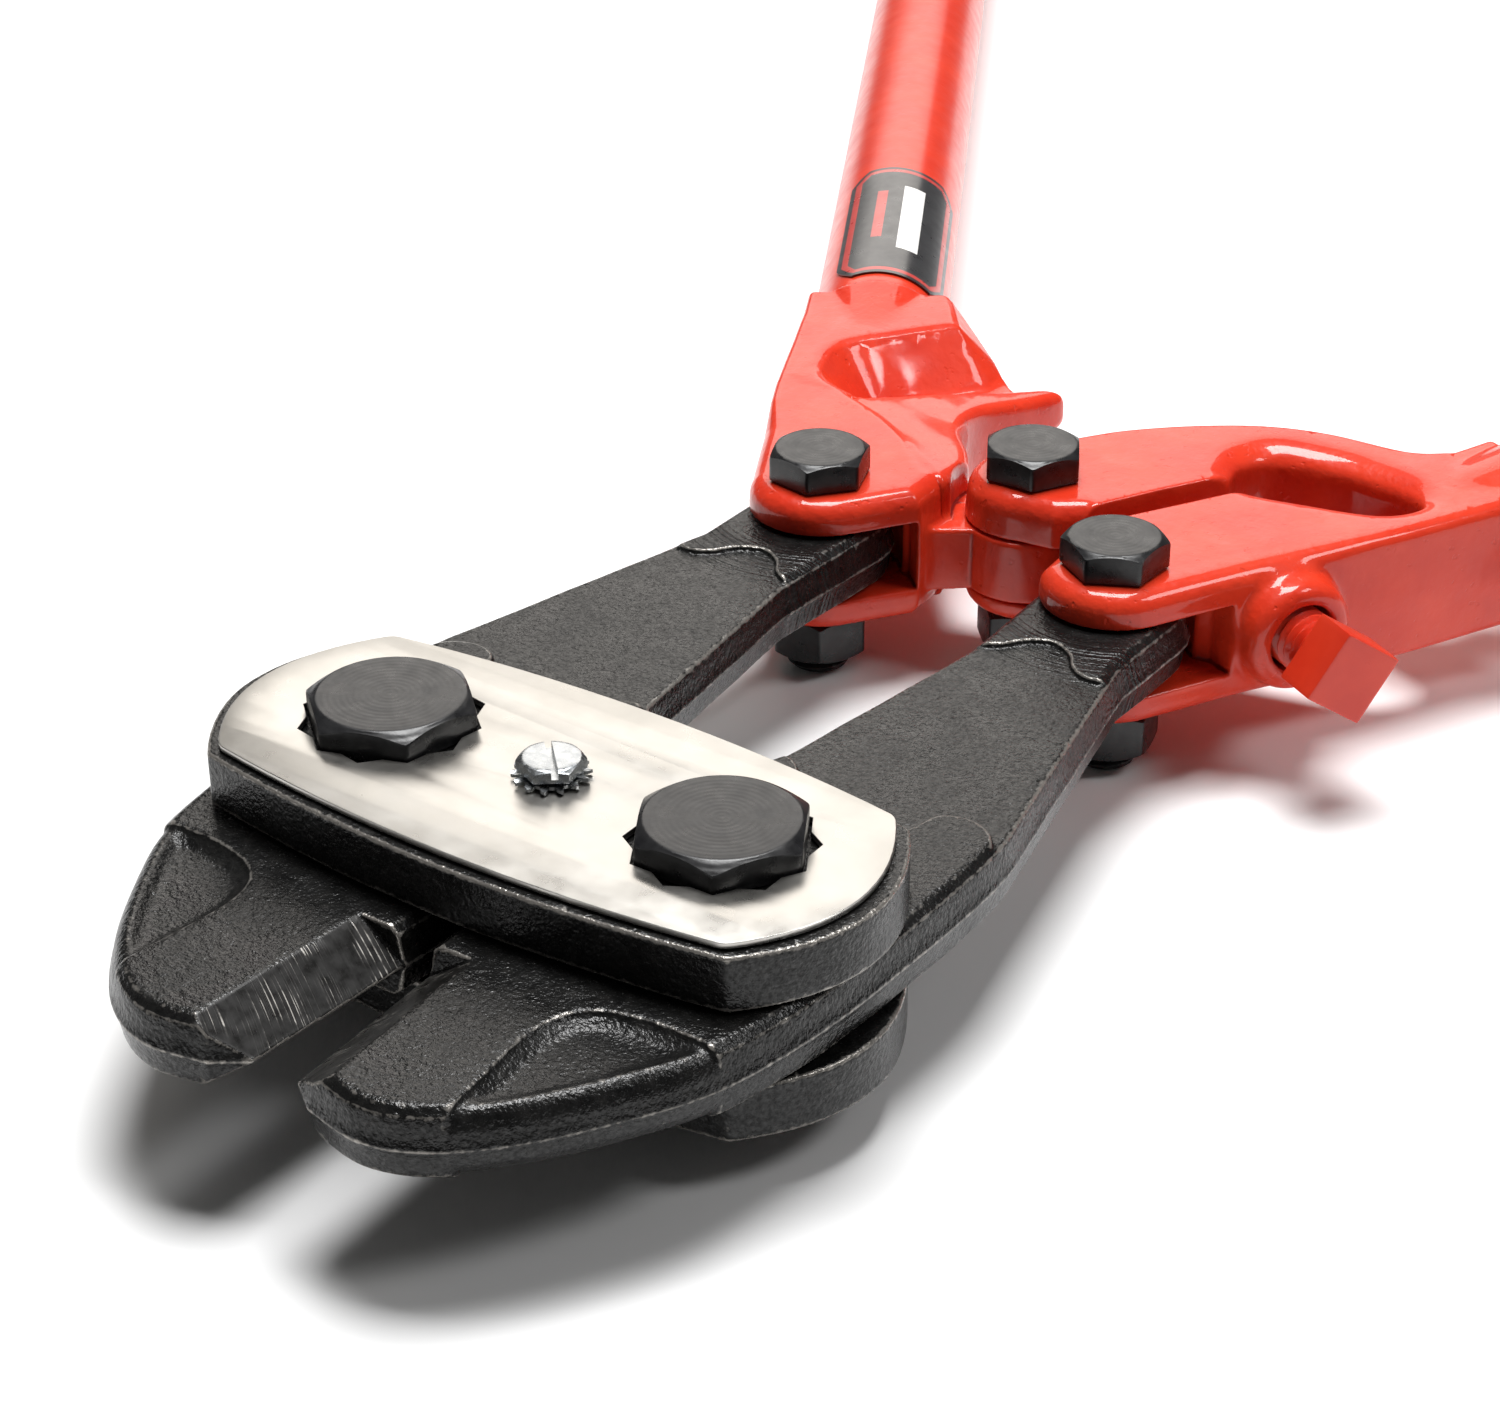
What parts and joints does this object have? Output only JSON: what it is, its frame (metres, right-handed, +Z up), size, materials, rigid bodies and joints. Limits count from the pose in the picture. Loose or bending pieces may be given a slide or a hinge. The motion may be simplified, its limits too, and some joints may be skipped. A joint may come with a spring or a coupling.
{
  "type": "bolt cutter",
  "caption": "Long-handled compound-lever bolt cutter: centre-cut jaws between straps, forked handle castings, tubular handles with grips and an adjusting screw.",
  "frame": {"origin": "underside of the lower strap, midway between the two jaw pivots", "axes": "+Z up through the straps, square to the tool's flat side; +Y from the jaws towards the grips; +X to the right of someone looking along +Y"},
  "size_m": [0.8019, 0.8402, 0.0537],
  "materials": {
    "red_enamel": "gloss",
    "forged_black": "satin",
    "bolt_black": "satin",
    "nickel_plate": "polished",
    "zinc_plate": "bright",
    "grip_rubber": "matt",
    "label_film": "satin"
  },
  "bodies": {
    "head": {"strap_upper": "forged_black", "strap_lower": "forged_black", "lock_plate": "nickel_plate", "jaw_bolt_left": "bolt_black", "jaw_bolt_right": "bolt_black", "jaw_nut_left": "bolt_black", "jaw_nut_right": "bolt_black", "plate_screw": "zinc_plate", "star_washer": "zinc_plate"},
    "jaw_left": {"jaw_left": "forged_black"},
    "jaw_right": {"jaw_right": "forged_black"},
    "handle_left": {"handle_casting_left": "red_enamel", "handle_tube_left": "red_enamel", "grip_left": "grip_rubber", "tube_label": "label_film", "heel_bolt_left": "bolt_black", "heel_nut_left": "bolt_black"},
    "handle_right": {"handle_casting_right": "red_enamel", "handle_tube_right": "red_enamel", "grip_right": "grip_rubber", "heel_bolt_right": "bolt_black", "heel_nut_right": "bolt_black", "centre_bolt": "bolt_black", "centre_nut": "bolt_black"},
    "adjuster": {"adjusting_screw": "red_enamel"}
  },
  "joints": [
    {"name": "jaw_left_turn", "type": "hinge", "parent": "head", "child": "jaw_left", "pos_m": [-0.0368, 0, 0.01845], "axis": [0, 0, 1], "range_deg": [-1.15, 3.56]},
    {"name": "jaw_right_turn", "type": "hinge", "parent": "head", "child": "jaw_right", "pos_m": [0.0368, 0, 0.01845], "axis": [0, 0, 1], "range_deg": [-3.56, 1.15]},
    {"name": "handle_left_swing", "type": "hinge", "parent": "jaw_left", "child": "handle_left", "pos_m": [-0.0353, 0.1342, 0.01845], "axis": [0, 0, 1], "range_deg": [-29.1, 9.1]},
    {"name": "handle_right_swing", "type": "hinge", "parent": "jaw_right", "child": "handle_right", "pos_m": [0.0353, 0.1342, 0.01845], "axis": [0, 0, 1], "range_deg": [-9.2, 29.2]},
    {"name": "adjuster_turn", "type": "hinge", "parent": "handle_right", "child": "adjuster", "pos_m": [0.0691, 0.1528, 0.01845], "axis": [0.866, -0.5, 0], "range_deg": [-180, 180]}
  ],
  "couplings": [
    {"joint": "jaw_left_turn", "follows": "handle_left_swing", "ratio": -0.12126},
    {"joint": "jaw_right_turn", "follows": "handle_left_swing", "ratio": 0.12126},
    {"joint": "handle_right_swing", "follows": "handle_left_swing", "ratio": -1}
  ]
}
